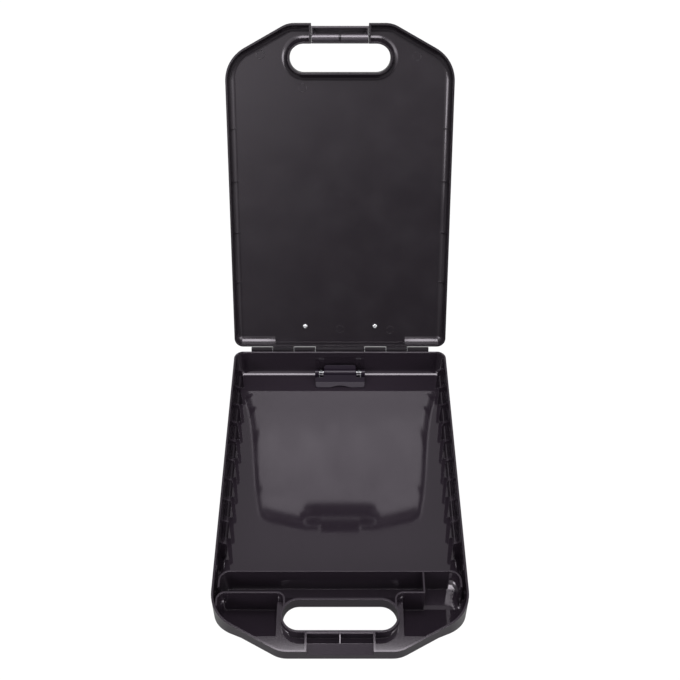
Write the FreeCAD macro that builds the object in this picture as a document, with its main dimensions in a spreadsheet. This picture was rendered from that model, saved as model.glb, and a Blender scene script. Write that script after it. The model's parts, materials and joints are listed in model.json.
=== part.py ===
import FreeCAD, Part
import Sketcher
import math
import os
import re

from FreeCAD import Placement, Rotation, Vector

# Storage clipboard: a shallow moulded case with a writing lid. The tray and the lid share one
# plan outline and turn on a steel pin along the far edge. Each is drawn from that hinge axis:
# X runs across the case, -Y towards the carrying handle and Z up from the axis.
# In the finished part the origin is the middle of the tray's flat underside.

SIZES = (
    # Outline shared by the tray and the lid.
    ("body_width", 268.6),
    ("body_length", 402.0),
    ("base_depth", 41.0),
    ("lid_depth", 13.0),
    ("wall_gauge", 2.2),
    ("floor_gauge", 2.4),
    ("hinge_offset", 3.6),
    ("rim_gap", 0.3),
    ("corner_radius", 11.0),
    ("chamfer_length", 40.4),
    ("shoulder_radius", 43.0),
    ("grip_half", 60.8),
    ("grip_radius", 30.0),
    ("edge_round", 4.0),
    ("open_angle", 116.7),
    ("cut_overrun", 1.0),
    # Hand hole, the same in the tray and the lid.
    ("handle_bar", 22.8),
    ("hole_depth", 33.2),
    ("hole_half", 59.0),
    # Underside of the tray: a ramp to the thin handle end and a finger scoop in the middle.
    ("grip_depth", 16.0),
    ("grip_length", 22.0),
    ("ramp_length", 42.0),
    ("scoop_length", 18.5),
    ("scoop_lead", 2.5),
    ("scoop_side", 4.5),
    ("cove_radius", 6.0),
    # Thin walls inside the tray.
    ("divider_gauge", 1.8),
    ("divider_drop", 1.0),
    ("pocket_depth", 10.0),
    ("pocket_return", 16.0),
    ("pocket_wall_radius", 9.0),
    ("pocket_wall_gap", 5.3),
    ("pocket_wall_lap", 2.0),
    ("pen_trough_depth", 24.5),
    ("pen_return", 19.5),
    ("pen_wall_radius", 12.0),
    ("pen_wall_gap", 6.3),
    ("pen_stop_place", 88.0),
    # Gusset fins along both side walls of the paper bay.
    ("fin_count", 10),
    ("fin_first", 31.0),
    ("fin_last_space", 34.5),
    ("fin_gauge", 1.6),
    ("fin_reach", 9.0),
    ("fin_drop", 1.2),
    ("fin_fall", 4.6),
    ("fin_tip_radius", 2.0),
    # Knuckle hinge along the far edge.
    ("barrel_radius", 3.0),
    ("hinge_pin_radius", 1.25),
    ("pin_clearance", 0.08),
    ("centre_knuckle", 63.0),
    ("hinge_end_space", 21.2),
    ("knuckle_gap", 0.4),
    ("stop_height", 5.2),
    ("stop_gap", 0.1),
    # Lid details.
    ("lid_cove_radius", 8.5),
    ("ring_cove_radius", 8.0),
    ("square_corner_side", 7.0),
    ("rib_count", 4),
    ("rib_first", 87.0),
    ("rib_last_space", 82.0),
    ("rib_gauge", 1.2),
    ("rib_reach", 9.0),
    # Handle latch: a half-round gutter across a gap in the lid's handle bar, with a round bead
    # inside it that snaps under a catch on the tray.
    ("latch_half", 33.1),
    ("latch_gap", 0.4),
    ("latch_radius", 9.9),
    ("latch_gauge", 2.0),
    ("latch_inset", 0.4),
    ("latch_pivot_height", 7.2),
    ("latch_pin_radius", 1.5),
    ("latch_pin_reach", 4.5),
    ("latch_lip", 4.5),
    ("latch_rear_height", 2.2),
    ("bead_radius", 4.2),
    ("bead_place", 7.1),
    ("bead_drop", 4.7),
    ("bead_neck", 4.0),
    ("bead_end_gap", 0.7),
    ("catch_reach", 1.2),
    ("catch_height", 1.2),
    ("catch_drop", 0.6),
    ("cell_length", 10.6),
    ("rib_middle", 1.2),
    ("ledge_drop", 3.2),
    ("ledge_fall", 4.4),
    # Spring clip on the tray floor.
    ("inner_clip_place", 17.0),
    ("inner_pin_height", 13.0),
    ("inner_jaw_half", 31.5),
    ("inner_jaw_reach", 14.5),
    ("inner_knee_reach", 8.6),
    ("inner_knee_height", 4.4),
    ("inner_barrel_half", 21.0),
    ("inner_spring_turns", 2),
    ("inner_tail_half", 20.0),
    ("inner_tail_reach", 5.0),
    ("inner_tail_height", 22.0),
    ("inner_ear_gauge", 5.0),
    ("inner_foot_front", 5.0),
    ("inner_foot_back", 5.1),
    ("inner_arch_half", 16.0),
    ("inner_arch_height", 2.6),
    ("inner_rivet_place", 15.0),
    ("inner_rivet_head", 2.4),
    ("inner_rivet_radius", 1.4),
    ("inner_rivet_depth", 1.5),
    # Low spring clip on the outside of the lid.
    ("outer_clip_place", 27.5),
    ("outer_pin_height", 7.0),
    ("outer_jaw_half", 76.0),
    ("outer_jaw_reach", 30.0),
    ("outer_knee_reach", 25.0),
    ("outer_knee_height", 4.6),
    ("outer_tail_half", 29.0),
    ("outer_tail_reach", 15.0),
    ("outer_tail_height", 15.0),
    ("outer_ear_place", 36.0),
    ("outer_ear_gauge", 2.5),
    ("outer_foot_front", 8.0),
    ("outer_foot_back", 9.0),
    ("outer_arch_half", 20.0),
    ("outer_arch_height", 2.2),
    ("outer_rivet_place", 44.5),
    ("outer_rivet_head", 3.2),
    ("outer_rivet_radius", 2.0),
    ("outer_rivet_bore", 1.1),
    ("outer_spring_turns", 1),
    # Sizes that both clips share.
    ("clip_gauge", 1.2),
    ("clip_pin_radius", 1.5),
    ("clip_barrel_radius", 3.4),
    ("clip_rest_gap", 0.3),
    ("clip_corner_radius", 4.0),
    ("tail_corner_radius", 4.0),
    ("foot_gauge", 1.4),
    ("rivet_dome", 1.2),
    ("rivet_roll", 2.2),
    ("spring_wire", 1.0),
    ("spring_radius", 2.6),
    ("spring_pitch", 1.55),
    ("spring_leg", 6.0),
    ("spring_foot_lean", 8.0),
    ("spring_seat_gap", 0.1),
    ("spring_room", 6.0),
    ("tail_bend_reach_share", 0.5),
    ("tail_bend_rise_share", 0.6),
)

# Places that follow from the sizes, so that the pieces keep together when a size changes.
PLACES = {
    "shoulder_place": "body_length-chamfer_length",
    "chamfer_slope": "atan(chamfer_length/(body_width/2-grip_half))",
    "hole_near": "body_length-handle_bar",
    "hole_far": "hole_near-hole_depth",
    "ramp_end": "body_length-grip_length",
    "ramp_start": "ramp_end-ramp_length",
    "scoop_end": "hole_far-scoop_lead",
    "scoop_start": "scoop_end-scoop_length",
    "scoop_half": "hole_half+scoop_side",
    "pocket_wall_place": "hole_far-pocket_depth",
    "pocket_wall_end": "pocket_wall_place+pocket_return",
    "pocket_wall_half": "body_width/2-pocket_wall_gap",
    "pocket_wall_inner": "hole_half-pocket_wall_lap",
    "pen_wall_place": "pocket_wall_place-pen_trough_depth",
    "pen_wall_end": "pen_wall_place+pen_return",
    "pen_wall_half": "body_width/2-pen_wall_gap",
    "fin_pitch": "(pen_wall_place-fin_last_space-fin_first)/(fin_count-1)",
    "rib_pitch": "(shoulder_place-rib_last_space-rib_first)/(rib_count-1)",
    "side_knuckle": "(body_width/2-hinge_end_space-centre_knuckle/2)/3",
    "square_corner_half": "outer_jaw_half+square_corner_side",
    "inner_ear_place": "inner_barrel_half+spring_room",
    "outer_barrel_half": "outer_ear_place-clip_rest_gap",
}

MATCH = 0.001
SPRING_SAMPLES = 400
WIRE_SIDES = 6
PLAN = "plan"
SIDE = "side"
FRONT = "front"
PLANES = {
    PLAN: (Rotation(), "z", Vector(0, 0, 1)),
    SIDE: (Rotation(Vector(1, 1, 1), 120), "x", Vector(1, 0, 0)),
    FRONT: (Rotation(Vector(1, 0, 0), 90), "y", Vector(0, 1, 0)),
}

doc = FreeCAD.newDocument("storage_clipboard")
sizes = doc.addObject("Spreadsheet::Sheet", "sizes")
for row, (alias, amount) in enumerate(SIZES, start=1):
    sizes.set("A%d" % row, alias)
    sizes.set("B%d" % row, str(amount))
    sizes.setAlias("B%d" % row, alias)
doc.recompute()

nodes = []


def bound(text):
    """The expression with every place written out and every size name pointed at the sheet."""
    def written(word):
        name = word.group()
        return "(%s)" % bound(PLACES[name]) if name in PLACES else "sizes." + name
    return re.sub(r"[a-z]+(?:_[a-z]+)+", written, str(text))


def value(text):
    """The number that an expression of sizes stands for."""
    return float(sizes.evalExpression(bound(text)))


def bind(item, name, text):
    item.setExpression(name, bound(text))


def box(name, x, y, z, length, width, height):
    """Block from its low corner."""
    block = doc.addObject("Part::Box", name)
    for axis, text in zip("xyz", (x, y, z)):
        bind(block, "Placement.Base." + axis, text)
    bind(block, "Length", length)
    bind(block, "Width", width)
    bind(block, "Height", height)
    return block


def rod(name, x, y, z, radius, length):
    """Round bar along X from its low end."""
    bar = doc.addObject("Part::Cylinder", name)
    bar.Placement = Placement(Vector(), Rotation(Vector(0, 1, 0), 90))
    for axis, text in zip("xyz", (x, y, z)):
        bind(bar, "Placement.Base." + axis, text)
    bind(bar, "Radius", radius)
    bind(bar, "Height", length)
    return bar


def post(name, x, y, z, radius, height):
    """Upright round bar from its low end."""
    bar = doc.addObject("Part::Cylinder", name)
    for axis, text in zip("xyz", (x, y, z)):
        bind(bar, "Placement.Base." + axis, text)
    bind(bar, "Radius", radius)
    bind(bar, "Height", height)
    return bar


def sketch(name, plane, offset, points, closed=True):
    """Straight-sided sketch whose every corner is held by two size expressions."""
    turn, axis, normal = PLANES[plane]
    drawing = doc.addObject("Sketcher::SketchObject", name)
    drawing.Placement = Placement(Vector(), turn)
    bind(drawing, "Placement.Base." + axis, offset)
    corners = [Vector(value(across), value(up), 0) for across, up in points]
    ends = corners[1:] + corners[:1] if closed else corners[1:]
    for start, end in zip(corners, ends):
        drawing.addGeometry(Part.LineSegment(start, end), False)
    lines = len(ends)
    joints = lines if closed else lines - 1
    for line in range(joints):
        drawing.addConstraint(Sketcher.Constraint("Coincident", line, 2, (line + 1) % lines, 1))
    for corner, (across, up) in enumerate(points):
        line, end = (corner, 1) if corner < lines else (lines - 1, 2)
        for kind, text, place in (
            ("DistanceX", across, corners[corner].x),
            ("DistanceY", up, corners[corner].y),
        ):
            index = drawing.addConstraint(Sketcher.Constraint(kind, -1, 1, line, end, place))
            drawing.setExpression("Constraints[%d]" % index, bound(text))
    return drawing


def extrude(name, profile, plane, length):
    solid = doc.addObject("Part::Extrusion", name)
    solid.Base = profile
    solid.DirMode = "Custom"
    solid.Dir = PLANES[plane][2]
    solid.Solid = True
    bind(solid, "LengthFwd", length)
    return solid


def plate(name, plane, offset, length, points):
    """Prism over a straight-sided sketch, from its offset along the plane's normal."""
    return extrude(name, sketch(name + "_profile", plane, offset, points), plane, length)


def bent_sheet(name, offset, length, gauge, points):
    """Bent sheet: an open line of bends in the side view, thickened to its left and run across X."""
    line = sketch(name + "_bends", SIDE, offset, points, closed=False)
    section = doc.addObject("Part::Offset2D", name + "_section")
    section.Source = line
    section.Mode = "Skin"
    section.Join = "Arc"
    section.Fill = True
    bind(section, "Value", "-" + gauge)
    return extrude(name, section, SIDE, length)


def fuse(name, shapes):
    joined = doc.addObject("Part::MultiFuse", name)
    joined.Shapes = shapes
    return joined


def common(name, shapes):
    overlap = doc.addObject("Part::MultiCommon", name)
    overlap.Shapes = shapes
    return overlap


def cut(name, base, tools):
    result = doc.addObject("Part::Cut", name)
    result.Base = base
    result.Tool = tools[0] if len(tools) == 1 else fuse(name + "_tools", tools)
    return result


def rounded(name, base, rounds):
    """Fillet of the edges that each test picks, each with the radius of its own expression."""
    doc.recompute()
    fillet = doc.addObject("Part::Fillet", name)
    fillet.Base = base
    chosen = []
    for index, edge in enumerate(base.Shape.Edges, start=1):
        for test, radius in rounds:
            if test(edge):
                chosen.append((index, value(radius), value(radius)))
                break
    fillet.Edges = chosen
    return fillet


def is_upright(edge):
    limits = edge.BoundBox
    return limits.XLength < MATCH and limits.YLength < MATCH


def upright_at(x, y):
    """Test for the upright edges whose plan place is |x|, y."""
    def test(edge):
        centre = edge.CenterOfMass
        near = abs(abs(centre.x) - value(x)) < MATCH and abs(centre.y - value(y)) < MATCH
        return is_upright(edge) and near
    return test


def level_at(z):
    """Test for edges that lie in one level plane."""
    def test(edge):
        limits = edge.BoundBox
        return abs(limits.ZMin - value(z)) < MATCH and abs(limits.ZMax - value(z)) < MATCH
    return test


def finish(item, label, place):
    """Name a finished sub-part and set it in its place. A plain bar is wrapped first, because
    its own placement already follows the sizes."""
    if item.isDerivedFrom("Part::Primitive"):
        whole = doc.addObject("Part::Compound", label + "_whole")
        whole.Links = [item]
        item = whole
    item.Label = label
    item.Placement = place
    nodes.append(item)
    return item


def outline_block(name, inset, low, height):
    """Block over the case outline, drawn in by an inset: square at the hinge and with broad
    round shoulders and straight chamfers down to the handle end."""
    side = "(body_width/2-(%s))" % inset
    back = "-(hinge_offset+(%s))" % inset
    shoulder = "-(shoulder_place-(%s)*tan((90 deg-chamfer_slope)/2))" % inset
    grip = "(grip_half-(%s)*tan(chamfer_slope/2))" % inset
    front = "-(body_length-(%s))" % inset
    block = plate(name + "_square", PLAN, low, height, [
        (side, back),
        ("-" + side, back),
        ("-" + side, shoulder),
        ("-" + grip, front),
        (grip, front),
        (side, shoulder),
    ])
    return rounded(name, block, [
        (upright_at(side, back), "corner_radius-(%s)" % inset),
        (upright_at(side, shoulder), "shoulder_radius-(%s)" % inset),
        (upright_at(grip, front), "grip_radius-(%s)" % inset),
    ])


def stadium(name, outset, low, height):
    """Round-ended block over the hand hole, larger all round by the outset."""
    radius = "((hole_near-hole_far)/2)"
    middle = "-(hole_near+hole_far)/2"
    reach = "(hole_half-%s)" % radius
    outer = "(%s+(%s))" % (radius, outset)
    bar = box(name + "_bar", "-" + reach, "%s-%s" % (middle, outer), low,
              "2*" + reach, "2*" + outer, height)
    ends = [post(name + side, sign + reach, middle, low, outer, height)
            for side, sign in (("_left", "-"), ("_right", ""))]
    return fuse(name, [bar] + ends)


def section_block(name, gauge):
    """Everything above the tray's underside in the side view, raised by a gauge: level floor,
    ramp and thin handle end."""
    ramp = "atan((base_depth-grip_depth)/(ramp_end-ramp_start))"
    shift = "(%s)*tan(%s/2)" % (gauge, ramp)
    return plate(name, SIDE, "-body_width", "2*body_width", [
        ("0", "-base_depth+(%s)" % gauge),
        ("-(ramp_start-%s)" % shift, "-base_depth+(%s)" % gauge),
        ("-(ramp_end-%s)" % shift, "-grip_depth+(%s)" % gauge),
        ("-(body_length+cut_overrun)", "-grip_depth+(%s)" % gauge),
        ("-(body_length+cut_overrun)", "cut_overrun"),
        ("0", "cut_overrun"),
    ])


def scoop_block(name, gauge, low, half):
    """Finger scoop under the handle, larger by a gauge."""
    slope = "atan((base_depth-grip_depth)/(scoop_end-scoop_start))"
    shift = "(%s)*tan(%s/2)" % (gauge, slope)
    foot = "-(scoop_start-(%s)*tan(%s/2))" % (gauge, slope)
    return plate(name, SIDE, "-" + half, "2*" + half, [
        (foot, low),
        (foot, "-base_depth+(%s)" % gauge),
        ("-(scoop_end-%s)" % shift, "-grip_depth+(%s)" % gauge),
        ("-(ramp_end+cut_overrun)", "-grip_depth+(%s)" % gauge),
        ("-(ramp_end+cut_overrun)", low),
    ])


def far_corner(line):
    """Test for the upright edges on the hinge side of a line across the case."""
    def test(edge):
        return is_upright(edge) and edge.CenterOfMass.y > value(line)
    return test


def bent_wall(name, left, right, far, near, radius):
    """Thin upright wall that runs across the tray and turns towards the handle at both ends."""
    low = "-base_depth+floor_gauge/2"
    height = "base_depth-floor_gauge/2-rim_gap-divider_drop"
    outer = rounded(name + "_outer", box(
        name + "_outer_square", left, "-" + near, low,
        "(%s)-(%s)" % (right, left), "(%s)-(%s)" % (near, far), height,
    ), [(far_corner("-%s-%s" % (far, radius)), radius)])
    inner = rounded(name + "_inner", box(
        name + "_inner_square", "(%s)+divider_gauge" % left, "-%s-cut_overrun" % near,
        low + "-cut_overrun", "(%s)-(%s)-2*divider_gauge" % (right, left),
        "(%s)+cut_overrun-(%s)-divider_gauge" % (near, far), height + "+2*cut_overrun",
    ), [(far_corner("-%s-%s" % (far, radius)), radius + "-divider_gauge")])
    return cut(name, outer, [inner])


def knuckle(name, low, length, web_low):
    """Hinge knuckle: a barrel round the axis and the web that joins it to its back wall."""
    barrel = rod(name + "_barrel", "(%s)+knuckle_gap/2" % low, "0", "0", "barrel_radius",
                 "%s-knuckle_gap" % length)
    web = box(name + "_web", "(%s)+knuckle_gap/2" % low, "-(hinge_offset+wall_gauge/2)", web_low,
              "%s-knuckle_gap" % length, "hinge_offset+wall_gauge/2", "barrel_radius-rim_gap")
    return [barrel, web]


def fin(name, side, place):
    """Gusset between a side wall and the floor: sloping top, rounded tip, upright inner edge."""
    wall = "%s(body_width/2-wall_gauge/2)" % side
    face = "%s(body_width/2-wall_gauge)" % side
    edge = "%s(body_width/2-wall_gauge-fin_reach)" % side
    top = "-rim_gap-fin_drop"
    low = "-base_depth+floor_gauge/2"
    web = plate(name, FRONT, "-(%s)-fin_gauge/2" % place, "fin_gauge", [
        (wall, top),
        (face, top),
        (edge, top + "-fin_fall"),
        (edge, low),
        (wall, low),
    ])

    def is_tip(line):
        centre = line.CenterOfMass
        level = abs(centre.z - value(top + "-fin_fall")) < MATCH
        return level and abs(centre.x - value(edge)) < MATCH

    return rounded(name + "_web", web, [(is_tip, "fin_tip_radius")])


def tray():
    outline = outline_block("tray_outline", "0", "-base_depth", "base_depth-rim_gap")
    outer = rounded("tray_outer", outline, [(level_at("-base_depth"), "edge_round")])
    inside = rounded("tray_inside_coved", outline_block(
        "tray_inside", "wall_gauge", "-base_depth+floor_gauge", "base_depth-floor_gauge+cut_overrun",
    ), [(level_at("-base_depth+floor_gauge"), "cove_radius")])
    hollow = common("tray_hollow", [inside, section_block("tray_inside_section", "floor_gauge")])
    parts = [cut("tray_skin", outer, [hollow])]
    parts.append(bent_wall("pen_wall", "-pen_wall_half", "pen_wall_half", "pen_wall_place",
                           "pen_wall_end", "pen_wall_radius"))
    parts.append(bent_wall("pocket_wall", "-pocket_wall_half", "-pocket_wall_inner",
                           "pocket_wall_place", "pocket_wall_end", "pocket_wall_radius"))
    right = bent_wall("right_pocket_wall_whole", "pocket_wall_inner", "pocket_wall_half",
                      "pocket_wall_place", "pocket_wall_end", "pocket_wall_radius")
    parts.append(common("right_pocket_wall", [right, box(
        "right_pocket_wall_reach", "0", "-pocket_wall_end", "-base_depth",
        "pen_stop_place+divider_gauge/2", "pocket_wall_end", "base_depth")]))
    parts.append(box("pen_stop", "pen_stop_place-divider_gauge/2",
                     "-(pocket_wall_place+divider_gauge)", "-base_depth+floor_gauge/2",
                     "divider_gauge", "pocket_wall_place-pen_wall_place+divider_gauge",
                     "base_depth-floor_gauge/2-rim_gap-divider_drop"))
    for side_name, side in (("left", "-"), ("right", "")):
        for number in range(int(value("fin_count"))):
            parts.append(fin("fin_%s_%d" % (side_name, number + 1), side,
                             "fin_first+%d*fin_pitch" % number))
    parts.append(scoop_block("scoop_floor", "floor_gauge", "-base_depth+floor_gauge/2",
                             "(scoop_half+wall_gauge)"))
    parts.append(stadium("tray_ring", "wall_gauge", "-grip_depth", "grip_depth-rim_gap"))
    seat_half = "(latch_half+latch_gap)"
    parts.append(box("latch_seat", "-%s-wall_gauge" % seat_half, "-(body_length-wall_gauge/2)",
                     "-grip_depth", "2*(%s+wall_gauge)" % seat_half,
                     "body_length-wall_gauge/2-hole_near-wall_gauge/2", "grip_depth-rim_gap"))
    body = common("tray_body", [fuse("tray_solid", parts), section_block("tray_section", "0")])

    knuckles = []
    for side_name, side in (("left", "-1"), ("right", "1")):
        for number, place in ((1, "(centre_knuckle+side_knuckle)/2"),
                              (2, "((centre_knuckle+side_knuckle)/2+2*side_knuckle)")):
            knuckles += knuckle("tray_knuckle_%s_%d" % (side_name, number),
                                "%s*%s-side_knuckle/2" % (side, place), "side_knuckle",
                                "-barrel_radius")
    body = fuse("tray_with_hinge", [body] + knuckles)

    cell_near = "-(hole_near+wall_gauge+cell_length)"
    cuts = [
        scoop_block("scoop", "0", "-base_depth-cut_overrun", "scoop_half"),
        stadium("tray_hole", "0", "-base_depth-cut_overrun", "base_depth+2*cut_overrun"),
        rod("tray_pin_bore", "-body_width/2", "0", "0", "hinge_pin_radius+pin_clearance", "body_width"),
        box("left_cell", "-" + seat_half, cell_near, "-grip_depth+floor_gauge",
            seat_half + "-rib_middle/2", "cell_length", "grip_depth"),
        box("right_cell", "rib_middle/2", cell_near, "-grip_depth+floor_gauge",
            seat_half + "-rib_middle/2", "cell_length", "grip_depth"),
        box("rib_notch", "-rib_middle", cell_near, "-ledge_drop/2",
            "2*rib_middle", "cell_length", "grip_depth"),
        plate("latch_ledge", SIDE, "-" + seat_half, "2*" + seat_half, [
            (cell_near, "cut_overrun"),
            (cell_near, "-ledge_drop"),
            ("-body_length", "-ledge_drop-ledge_fall"),
            ("-body_length-cut_overrun", "-ledge_drop-ledge_fall"),
            ("-body_length-cut_overrun", "cut_overrun"),
        ]),
    ]
    for side_name, side in (("left", "-"), ("right", "")):
        cuts.append(post("clip_rivet_hole_" + side_name, side + "inner_rivet_place",
                         "-inner_clip_place", "-base_depth+floor_gauge-inner_rivet_depth",
                         "inner_rivet_radius", "base_depth"))
    body = cut("tray_cut", body, cuts)
    catch = box("latch_catch", "-%s-wall_gauge/2" % seat_half,
                "-(hole_near+wall_gauge+catch_reach)", "-rim_gap-catch_drop-catch_height",
                "2*%s+wall_gauge" % seat_half, "catch_reach+wall_gauge/2", "catch_height")
    return fuse("tray_whole", [body, catch])


def lid():
    outer = rounded("lid_outer", outline_block("lid_outline", "0", "0", "lid_depth"),
                    [(level_at("lid_depth"), "edge_round")])
    hollow = cut("lid_hollow_sharp", outline_block(
        "lid_inside", "wall_gauge", "-cut_overrun", "lid_depth-floor_gauge+cut_overrun",
    ), [stadium("lid_ring", "wall_gauge", "-2*cut_overrun", "lid_depth+4*cut_overrun")])
    inner_face = level_at("lid_depth-floor_gauge")

    def is_ring_edge(edge):
        limits = edge.BoundBox
        reach = value("hole_half+wall_gauge+cut_overrun")
        return (inner_face(edge) and max(-limits.XMin, limits.XMax) < reach
                and limits.YMax < value("-(hole_far-wall_gauge-cut_overrun)")
                and limits.YMin > value("-(hole_near+wall_gauge+cut_overrun)"))

    hollow = rounded("lid_hollow", hollow, [
        (is_ring_edge, "ring_cove_radius"),
        (inner_face, "lid_cove_radius"),
    ])
    square_corner = box("square_corner", "-square_corner_half",
                        "-(hinge_offset+wall_gauge+lid_cove_radius)", "-cut_overrun",
                        "2*square_corner_half", "lid_cove_radius",
                        "lid_depth-floor_gauge+cut_overrun")
    parts = [cut("lid_skin", outer, [hollow, square_corner])]
    for side_name, side in (("left", "-"), ("right", "")):
        for number in range(int(value("rib_count"))):
            parts.append(plate("lid_rib_%s_%d" % (side_name, number + 1), FRONT,
                               "-(rib_first+%d*rib_pitch)-rib_gauge/2" % number, "rib_gauge", [
                ("%s(body_width/2-wall_gauge/2)" % side, "rib_gauge"),
                ("%s(body_width/2-wall_gauge)" % side, "rib_gauge"),
                ("%s(body_width/2-wall_gauge-rib_reach)" % side, "lid_depth-floor_gauge"),
                ("%s(body_width/2-wall_gauge-rib_reach)" % side, "lid_depth-floor_gauge/2"),
                ("%s(body_width/2-wall_gauge/2)" % side, "lid_depth-floor_gauge/2"),
            ]))
    gap_half = "(latch_half+latch_gap)"
    parts.append(box("bar_ends", "-%s-wall_gauge" % gap_half, "-(body_length-wall_gauge/2)", "0",
                     "2*(%s+wall_gauge)" % gap_half,
                     "body_length-wall_gauge/2-hole_near-wall_gauge/2", "lid_depth-floor_gauge/2"))
    for name, low, length in (
        ("centre", "-centre_knuckle/2", "centre_knuckle"),
        ("left", "-(centre_knuckle/2+2*side_knuckle)", "side_knuckle"),
        ("right", "centre_knuckle/2+side_knuckle", "side_knuckle"),
    ):
        parts += knuckle("lid_knuckle_" + name, low, length, "0")
        parts.append(stop_nose("stop_nose_" + name, low, length))
    cuts = [
        stadium("lid_hole", "0", "-cut_overrun", "lid_depth+2*cut_overrun"),
        box("latch_gap_cut", "-" + gap_half, "-(body_length+cut_overrun)", "-cut_overrun",
            "2*" + gap_half, "body_length-hole_near+2*cut_overrun", "lid_depth+2*cut_overrun"),
        rod("lid_pin_bore", "-body_width/2", "0", "0", "hinge_pin_radius+pin_clearance", "body_width"),
        rod("latch_pin_bore", "-(%s+wall_gauge)" % gap_half, "-(hole_near+latch_radius)",
            "latch_pivot_height", "latch_pin_radius", "2*(%s+wall_gauge)" % gap_half),
    ]
    for side_name, side in (("left", "-"), ("right", "")):
        cuts.append(post("lid_rivet_hole_" + side_name, side + "outer_rivet_place",
                         "-outer_clip_place", "0", "outer_rivet_radius", "lid_depth+cut_overrun"))
    return cut("lid_whole", fuse("lid_solid", parts), cuts)


def stop_nose(name, low, length):
    """Nose under a lid knuckle that lies on the tray's back wall when the lid stands open."""
    nose = doc.addObject("Part::Box", name)
    bind(nose, "Length", "%s-knuckle_gap" % length)
    bind(nose, "Width", "hinge_offset-stop_gap")
    bind(nose, "Height", "stop_height")
    doc.recompute()
    closing = Placement(Vector(), Rotation(Vector(1, 0, 0), value("open_angle")))
    corner = Vector(value("(%s)+knuckle_gap/2" % low), value("-(hinge_offset-stop_gap)"),
                    value("-stop_height"))
    nose.Placement = closing * Placement(corner, Rotation())
    return nose


def latch():
    """Half-round gutter that closes the gap in the handle bar, with a hollow bead on a neck
    inside it. The bead is parted in the middle, where the tray has a rib."""
    centre = "-(hole_near+latch_radius)"
    height = "(lid_depth-latch_inset-latch_radius)"
    span = "2*latch_half"
    above = box("latch_above", "-latch_half", centre + "-latch_radius", "latch_rear_height", span,
                "2*latch_radius", "2*latch_radius")
    gutter = cut("latch_gutter_round",
                 rod("latch_outside", "-latch_half", centre, height, "latch_radius", span),
                 [rod("latch_inside", "-latch_half", centre, height, "latch_radius-latch_gauge", span)])
    parts = [common("latch_gutter", [gutter, above])]
    parts.append(box("latch_front", "-latch_half", centre + "-latch_radius", "-latch_lip", span,
                     "latch_gauge", "latch_lip+" + height))
    for side_name, low in (("left", "-latch_half"), ("right", "latch_half-latch_gauge")):
        disc = rod("latch_disc_" + side_name, low, centre, height, "latch_radius", "latch_gauge")
        top = box("latch_disc_top_" + side_name, low, centre + "-latch_radius", height,
                  "latch_gauge", "2*latch_radius", "2*latch_radius")
        parts.append(common("latch_cheek_" + side_name, [disc, top]))
    for side_name, low in (("left", "-latch_half"), ("right", "latch_half-latch_pin_reach")):
        parts.append(rod("latch_boss_" + side_name, low, centre, "latch_pivot_height",
                         "latch_pin_radius+latch_gauge", "latch_pin_reach"))
    bead_place = "-(hole_near+bead_place)"
    for side_name, low in (("left", "-latch_half+bead_end_gap"), ("right", "rib_middle/2+bead_end_gap")):
        length = "(latch_half-rib_middle/2-2*bead_end_gap)"
        name = "bead_" + side_name
        neck = box(name + "_neck_block", low, bead_place + "-bead_neck/2", "-bead_drop", length,
                   "bead_neck", "bead_drop+lid_depth")
        core = rod(name + "_core", low, centre, height, "latch_radius-latch_gauge/2", length)
        tube = fuse(name + "_round", [
            rod(name + "_outside", low, bead_place, "-bead_drop", "bead_radius", length),
            common(name + "_neck", [neck, core]),
        ])
        parts.append(cut(name, tube, [rod(name + "_bore", low, bead_place, "-bead_drop",
                                          "bead_radius-latch_gauge", length)]))
    bore = rod("latch_bore", "-latch_half-cut_overrun", centre, "latch_pivot_height",
               "latch_pin_radius+pin_clearance", "2*(latch_half+cut_overrun)")
    return cut("latch_whole", fuse("latch_solid", parts), [bore])


def latch_pin(side_name):
    reach = "(latch_pin_reach+latch_gap+wall_gauge)"
    inner = "(latch_half-latch_pin_reach)"
    low = inner if side_name == "right" else "-%s-%s" % (inner, reach)
    return rod("latch_rod_" + side_name, low, "-(hole_near+latch_radius)", "latch_pivot_height",
               "latch_pin_radius", reach)


def hinge_pin():
    reach = "(centre_knuckle/2+3*side_knuckle-knuckle_gap/2)"
    return rod("hinge_rod", "-" + reach, "0", "0", "hinge_pin_radius", "2*" + reach)


def jaw_slope(kind):
    """Slope of the jaw sheet, which passes just above the pin so that the spring bears on it."""
    run = "%s_knee_reach" % kind
    rise = "(%s_pin_height-%s_knee_height)" % (kind, kind)
    above = "(spring_radius-spring_wire/2-clip_gauge-spring_seat_gap)"
    return "(atan(%s/%s)+asin(%s/sqrt(%s^2+%s^2)))" % (rise, run, above, run, rise)


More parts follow.
